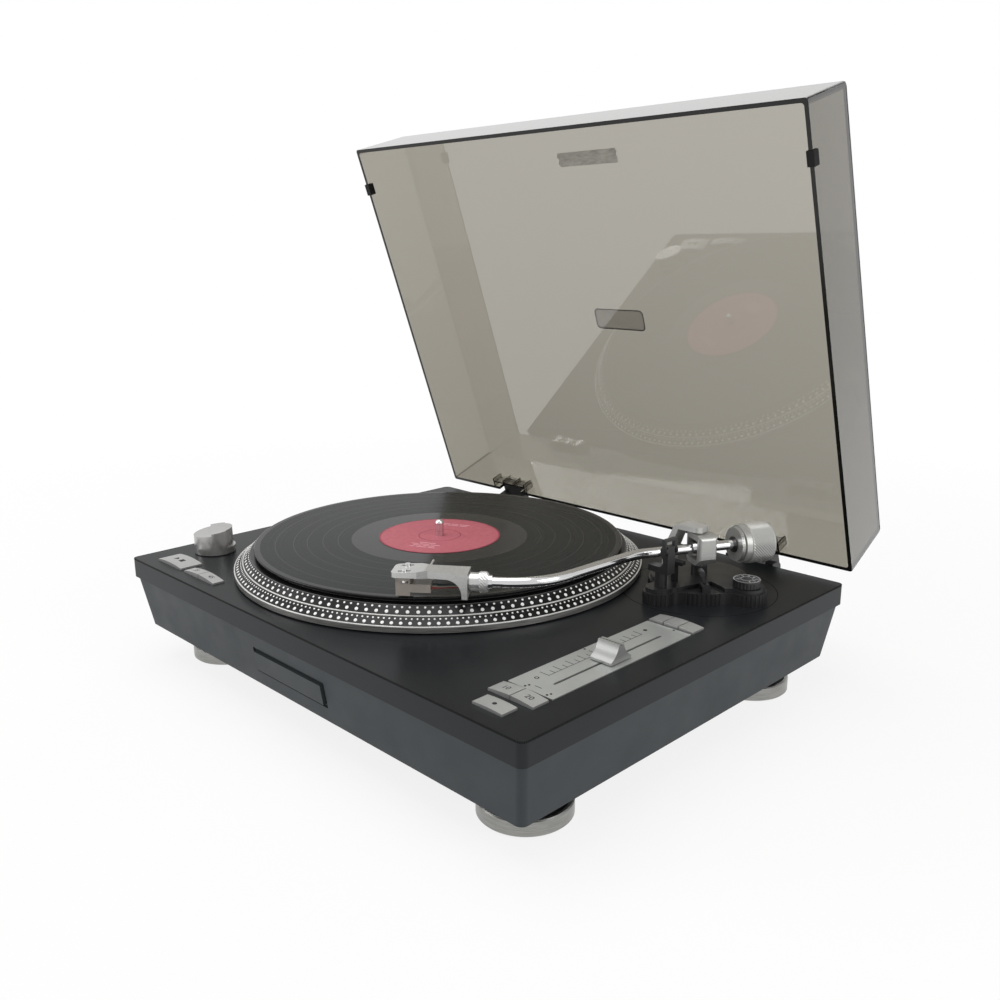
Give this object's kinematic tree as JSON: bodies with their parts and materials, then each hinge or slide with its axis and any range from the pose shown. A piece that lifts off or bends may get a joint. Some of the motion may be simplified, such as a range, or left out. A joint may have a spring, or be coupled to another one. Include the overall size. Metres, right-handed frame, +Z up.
{
  "type": "dj turntable",
  "caption": "Direct-drive disc jockey turntable with S-shaped tone arm, pitch fader, keys, loaded record and an open hinged smoke dust cover on screw feet",
  "frame": {"origin": "floor level, at the middle of the footprint of the whole object with its cover open", "axes": "+X to the user's right, +Y to the rear, +Z up"},
  "size_m": [0.4604, 0.4186, 0.4428],
  "materials": {
    "deck_paint": "satin dark grey paint",
    "body_paint": "matte slate grey moulding",
    "black_plastic": "matte black moulding",
    "silver_plastic": "silver painted moulding",
    "bright_metal": "polished plating",
    "satin_metal": "satin turned metal",
    "steel": "plain steel",
    "platter_metal": "dark coated casting with bright turned lines",
    "magnet": "sintered ring",
    "copper": "lacquered winding",
    "board": "green circuit board",
    "mat_felt": "black felt",
    "vinyl": "grooved black vinyl",
    "label_paper": "plain coloured paper",
    "cartridge_beige": "beige moulding",
    "wire": "coloured insulation",
    "smoke_acrylic": "clear smoke tinted acrylic"
  },
  "bodies": {
    "chassis": {"top_deck": "deck_paint", "lower_body": "body_paint", "bottom_cover": "black_plastic", "front_plate": "body_paint", "case_screws": "steel", "platter_bearing": "steel", "motor_stator": "copper", "main_board": "board", "transformer": "steel", "switch_boards": "board", "rear_sockets": "black_plastic", "arm_base_disc": "deck_paint", "arm_base": "black_plastic", "pivot_post": "bright_metal", "arm_yoke": "satin_metal", "arm_rest": "black_plastic", "strobe_base": "black_plastic", "pitch_panel": "silver_plastic", "fader_track": "steel", "hinge_bases": "black_plastic"},
    "turning_platter": {"platter": "platter_metal", "spindle": "bright_metal", "rotor_magnet": "magnet", "slip_mat": "mat_felt", "record": "vinyl", "record_label": "label_paper"},
    "gimbal": {"gimbal_ring": "satin_metal"},
    "tone_arm": {"pivot_block": "bright_metal", "arm_tube": "satin_metal", "headshell": "satin_metal", "cartridge": "cartridge_beige", "stylus": "black_plastic", "cartridge_screws": "bright_metal", "lead_wires": "wire"},
    "collar": {"lock_collar": "bright_metal"},
    "weight_bush": {"counterweight_bush": "steel"},
    "weight": {"counterweight": "steel"},
    "dial": {"force_dial": "black_plastic"},
    "skate_knob": {"anti_skate_knob": "black_plastic"},
    "cue_lever": {"cue_lever": "black_plastic"},
    "cue_lifter": {"cue_lifter": "black_plastic"},
    "clip": {"arm_clip": "black_plastic"},
    "power_knob": {"power_knob": "silver_plastic"},
    "fader": {"pitch_fader": "silver_plastic"},
    "dust_cover": {"lid_cover": "smoke_acrylic", "lid_bumpers": "black_plastic", "hinge_leaves": "black_plastic"},
    "start_key": {"start_key": "silver_plastic"},
    "speed_key_33": {"speed_key_33": "silver_plastic"},
    "speed_key_45": {"speed_key_45": "silver_plastic"},
    "quartz_key": {"quartz_key": "silver_plastic"},
    "range_key_left": {"range_key_left": "silver_plastic"},
    "range_key_right": {"range_key_right": "silver_plastic"},
    "rear_key_left": {"rear_key_left": "silver_plastic"},
    "rear_key_middle": {"rear_key_middle": "silver_plastic"},
    "rear_key_right": {"rear_key_right": "silver_plastic"},
    "foot_front_left": {"foot_front_left": "satin_metal"},
    "foot_front_right": {"foot_front_right": "satin_metal"},
    "foot_rear_left": {"foot_rear_left": "satin_metal"},
    "foot_rear_right": {"foot_rear_right": "satin_metal"}
  },
  "joints": [
    {"name": "cover_hinge", "type": "hinge", "parent": "chassis", "child": "dust_cover", "pos_m": [0, 0.15618, 0.0833], "axis": [-1, 0, 0], "range_deg": [-70.6, 0]},
    {"name": "platter_spin", "type": "hinge", "parent": "chassis", "child": "turning_platter", "pos_m": [-0.04, -0.02982, 0.0876], "axis": [0, 0, -1], "continuous": true},
    {"name": "arm_swing", "type": "hinge", "parent": "chassis", "child": "gimbal", "pos_m": [0.1555, 0.05869, 0.1202], "axis": [0, 0, -1], "range_deg": [-22.7, 23.2]},
    {"name": "arm_lift", "type": "hinge", "parent": "gimbal", "child": "tone_arm", "pos_m": [0.1555, 0.05869, 0.1202], "axis": [-0.8886, 0.4586, 0], "range_deg": [0, 6]},
    {"name": "collar_turn", "type": "hinge", "parent": "tone_arm", "child": "collar", "pos_m": [0.05302, -0.14401, 0.1202], "axis": [-0.7793, -0.6266, 0], "range_deg": [0, 60]},
    {"name": "weight_slide", "type": "slide", "parent": "tone_arm", "child": "weight_bush", "axis": [0.4586, 0.8886, 0], "range_m": [-0.006, 0.004]},
    {"name": "weight_turn", "type": "hinge", "parent": "weight_bush", "child": "weight", "pos_m": [0.1555, 0.05869, 0.1202], "axis": [0.4586, 0.8886, 0], "range_deg": [-270, 180]},
    {"name": "dial_turn", "type": "hinge", "parent": "weight", "child": "dial", "pos_m": [0.1555, 0.05869, 0.1202], "axis": [0.4586, 0.8886, 0], "range_deg": [-180, 180]},
    {"name": "skate_turn", "type": "hinge", "parent": "chassis", "child": "skate_knob", "pos_m": [0.1965, 0.05899, 0.0996], "axis": [0, 0, 1], "range_deg": [0, 270]},
    {"name": "cue_turn", "type": "hinge", "parent": "chassis", "child": "cue_lever", "pos_m": [0.1761, 0.03619, 0.1006], "axis": [0.7071, -0.7071, 0], "range_deg": [0, 60]},
    {"name": "cue_rise", "type": "slide", "parent": "chassis", "child": "cue_lifter", "axis": [0, 0, 1], "range_m": [-0.005, 0]},
    {"name": "clip_turn", "type": "hinge", "parent": "chassis", "child": "clip", "pos_m": [0.15892, 0.01457, 0.1287], "axis": [-0.0802, -0.9968, 0], "range_deg": [0, 90]},
    {"name": "power_turn", "type": "hinge", "parent": "chassis", "child": "power_knob", "pos_m": [-0.1951, -0.15021, 0.0876], "axis": [0, 0, 1], "range_deg": [0, 40]},
    {"name": "pitch_slide", "type": "slide", "parent": "chassis", "child": "fader", "axis": [0, 1, 0], "range_m": [-0.048, 0.048]},
    {"name": "start_key_press", "type": "slide", "parent": "chassis", "child": "start_key", "axis": [0, 0, -1], "range_m": [0, 0.001], "stiffness_N_per_m": 600, "springref_m": -0.0012},
    {"name": "speed_key_33_press", "type": "slide", "parent": "chassis", "child": "speed_key_33", "axis": [0, 0, -1], "range_m": [0, 0.001], "stiffness_N_per_m": 600, "springref_m": -0.0012},
    {"name": "speed_key_45_press", "type": "slide", "parent": "chassis", "child": "speed_key_45", "axis": [0, 0, -1], "range_m": [0, 0.001], "stiffness_N_per_m": 600, "springref_m": -0.0012},
    {"name": "quartz_key_press", "type": "slide", "parent": "chassis", "child": "quartz_key", "axis": [0, 0, -1], "range_m": [0, 0.001], "stiffness_N_per_m": 600, "springref_m": -0.0012},
    {"name": "range_key_left_press", "type": "slide", "parent": "chassis", "child": "range_key_left", "axis": [0, 0, -1], "range_m": [0, 0.001], "stiffness_N_per_m": 600, "springref_m": -0.0012},
    {"name": "range_key_right_press", "type": "slide", "parent": "chassis", "child": "range_key_right", "axis": [0, 0, -1], "range_m": [0, 0.001], "stiffness_N_per_m": 600, "springref_m": -0.0012},
    {"name": "rear_key_left_press", "type": "slide", "parent": "chassis", "child": "rear_key_left", "axis": [0, 0, -1], "range_m": [0, 0.001], "stiffness_N_per_m": 600, "springref_m": -0.0012},
    {"name": "rear_key_middle_press", "type": "slide", "parent": "chassis", "child": "rear_key_middle", "axis": [0, 0, -1], "range_m": [0, 0.001], "stiffness_N_per_m": 600, "springref_m": -0.0012},
    {"name": "rear_key_right_press", "type": "slide", "parent": "chassis", "child": "rear_key_right", "axis": [0, 0, -1], "range_m": [0, 0.001], "stiffness_N_per_m": 600, "springref_m": -0.0012},
    {"name": "foot_front_left_screw", "type": "slide", "parent": "chassis", "child": "foot_front_left", "axis": [0, 0, -1], "range_m": [0, 0.006]},
    {"name": "foot_front_right_screw", "type": "slide", "parent": "chassis", "child": "foot_front_right", "axis": [0, 0, -1], "range_m": [0, 0.006]},
    {"name": "foot_rear_left_screw", "type": "slide", "parent": "chassis", "child": "foot_rear_left", "axis": [0, 0, -1], "range_m": [0, 0.006]},
    {"name": "foot_rear_right_screw", "type": "slide", "parent": "chassis", "child": "foot_rear_right", "axis": [0, 0, -1], "range_m": [0, 0.006]}
  ],
  "couplings": [
    {"joint": "weight_slide", "follows": "weight_turn", "m_per_rad": 0.0012732},
    {"joint": "cue_turn", "follows": "cue_rise", "rad_per_m": -209.44}
  ]
}
